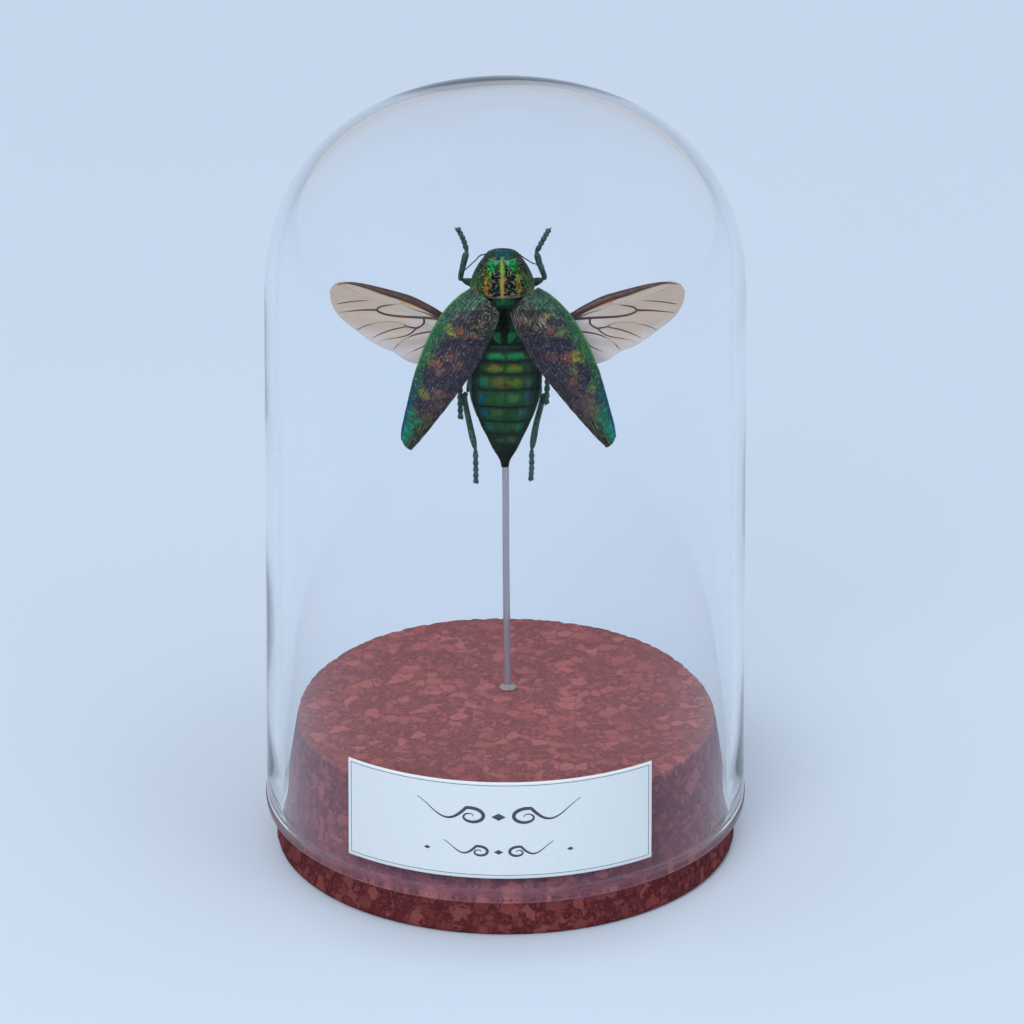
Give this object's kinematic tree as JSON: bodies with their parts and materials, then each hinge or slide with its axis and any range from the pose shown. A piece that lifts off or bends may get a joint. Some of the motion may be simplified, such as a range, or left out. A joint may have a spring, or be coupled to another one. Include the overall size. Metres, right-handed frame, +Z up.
{
  "type": "insect in glass dome",
  "caption": "Spread green beetle on a clear rod, shown in a glass dome with a rounded rim on a tapered cork base, with a bare paper label.",
  "frame": {"origin": "centre of the cork base's underside, on the surface that it stands on", "axes": "+Z up along the dome's axis; the beetle's back and the label face -Y; +X to the right as seen from that side"},
  "size_m": [0.0804, 0.0806, 0.1329],
  "materials": {
    "cork": "red-dyed agglomerate cork, matt, with coarse flakes",
    "glass": "clear blown glass, polished",
    "clear_rod": "clear greyish rod",
    "glue": "clear set glue",
    "paper": "smooth off-white paper with a thin grey line inside its edge",
    "shell": "metallic green cuticle with golden stripes and dark wrinkles",
    "wing_case": "striated dark bronze cuticle, emerald to blue margin, copper spots",
    "membrane": "translucent beige membrane with brown veins",
    "leg": "dark green cuticle, faintly metallic"
  },
  "bodies": {
    "root": {"cork_base": "cork", "glass_dome": "glass", "support_rod": "clear_rod", "glue_bead": "glue", "label": "paper", "head": "shell", "prothorax": "shell", "thorax": "shell", "abdomen": "shell", "elytron_left": "wing_case", "elytron_right": "wing_case", "hindwing_left": "membrane", "hindwing_right": "membrane", "antenna_left": "leg", "antenna_right": "leg", "foreleg_left": "leg", "foreleg_right": "leg", "midleg_left": "leg", "midleg_right": "leg", "hindleg_left": "leg", "hindleg_right": "leg"}
  },
  "joints": []
}
